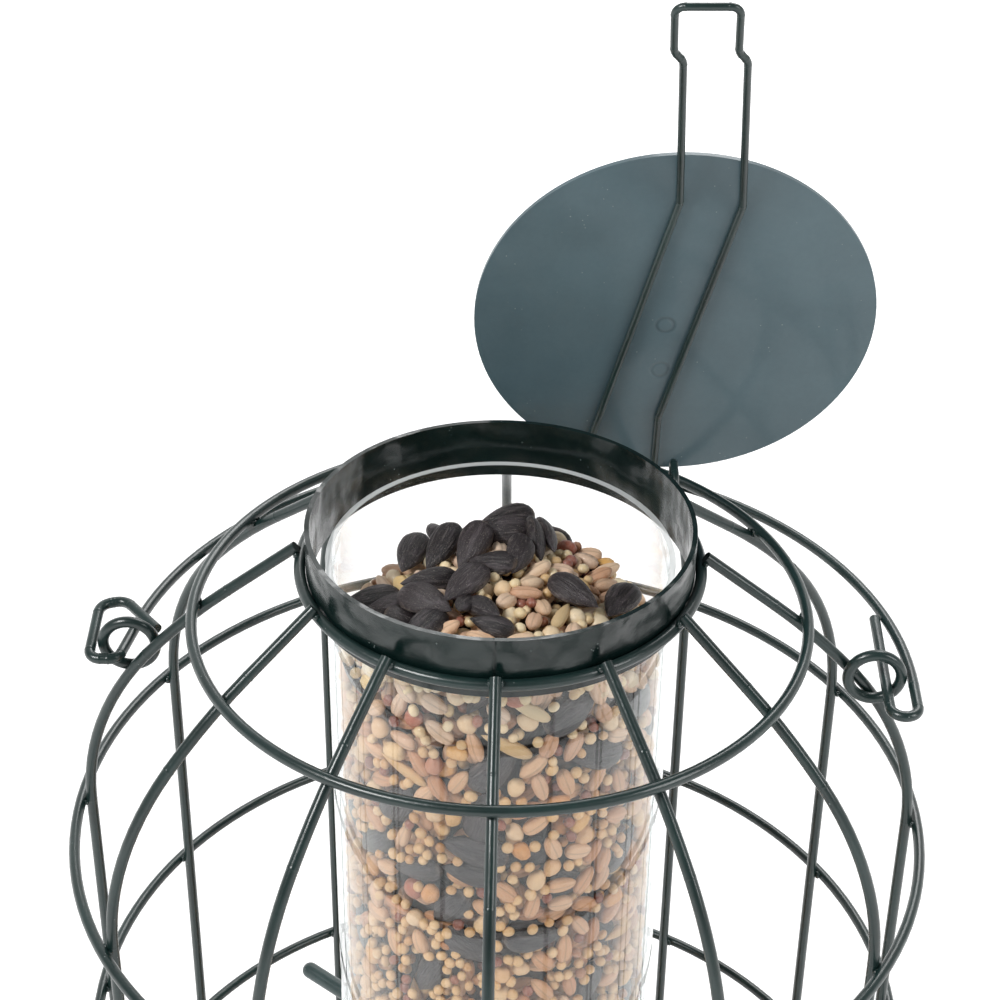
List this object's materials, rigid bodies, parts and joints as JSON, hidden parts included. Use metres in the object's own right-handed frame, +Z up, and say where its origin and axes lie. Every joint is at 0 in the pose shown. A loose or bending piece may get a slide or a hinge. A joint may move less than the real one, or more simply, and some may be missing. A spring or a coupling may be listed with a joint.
{
  "type": "bird seed feeder",
  "caption": "Hanging bird feeder: a clear seed tube with perches and ports inside a round wire cage, with a hinged lid and a wire bail.",
  "frame": {"origin": "middle of the underside of the base", "axes": "+Z up along the seed tube, -Y towards the camera of the picture, +X to the right in it"},
  "size_m": [0.1876, 0.1876, 0.4317],
  "materials": {
    "wire_green": "dark blue-green powder coat, satin",
    "sheet_green": "dark blue-green powder coat, satin",
    "hood_green": "dark blue-green powder coat, satin",
    "perch_green": "dark blue-green powder coat, satin",
    "tube_clear": "clear, glossy",
    "seed_mix": "mixed dry seed, matt"
  },
  "bodies": {
    "feeder": {"tube_collar": "sheet_green", "neck_ring": "wire_green", "foot_ring": "wire_green", "rib_front": "wire_green", "rib_2": "wire_green", "rib_3": "wire_green", "rib_right": "wire_green", "rib_5": "wire_green", "rib_6": "wire_green", "rib_back": "wire_green", "rib_8": "wire_green", "rib_9": "wire_green", "rib_left": "wire_green", "rib_11": "wire_green", "rib_12": "wire_green", "ring_shoulder": "wire_green", "ring_side_1": "wire_green", "ring_side_2": "wire_green", "ring_side_3": "wire_green", "ring_side_4": "wire_green", "ring_lower": "wire_green", "seed_tube": "tube_clear", "base_cup": "sheet_green", "seed_fill": "seed_mix", "perch_upper": "perch_green", "perch_lower": "perch_green", "port_hood_1": "hood_green", "port_hood_2": "hood_green", "port_hood_3": "hood_green", "port_hood_4": "hood_green", "eye_right": "wire_green", "eye_left": "wire_green", "hinge_sleeve": "wire_green", "lid_stop": "wire_green"},
    "lid": {"lid_disc": "sheet_green", "lid_handle": "wire_green"},
    "bail_wire": {"bail": "wire_green"}
  },
  "joints": [
    {"name": "lid_hinge", "type": "hinge", "parent": "feeder", "child": "lid", "pos_m": [0.00535, 0.04255, 0.322], "axis": [0.7677, -0.4065, -0.4955], "range_deg": [0, 93]},
    {"name": "bail_hinge", "type": "hinge", "parent": "feeder", "child": "bail_wire", "pos_m": [-0.00006, -0.00244, 0.2907], "axis": [0.9997, -0.0227, 0], "range_deg": [0, 20]}
  ]
}
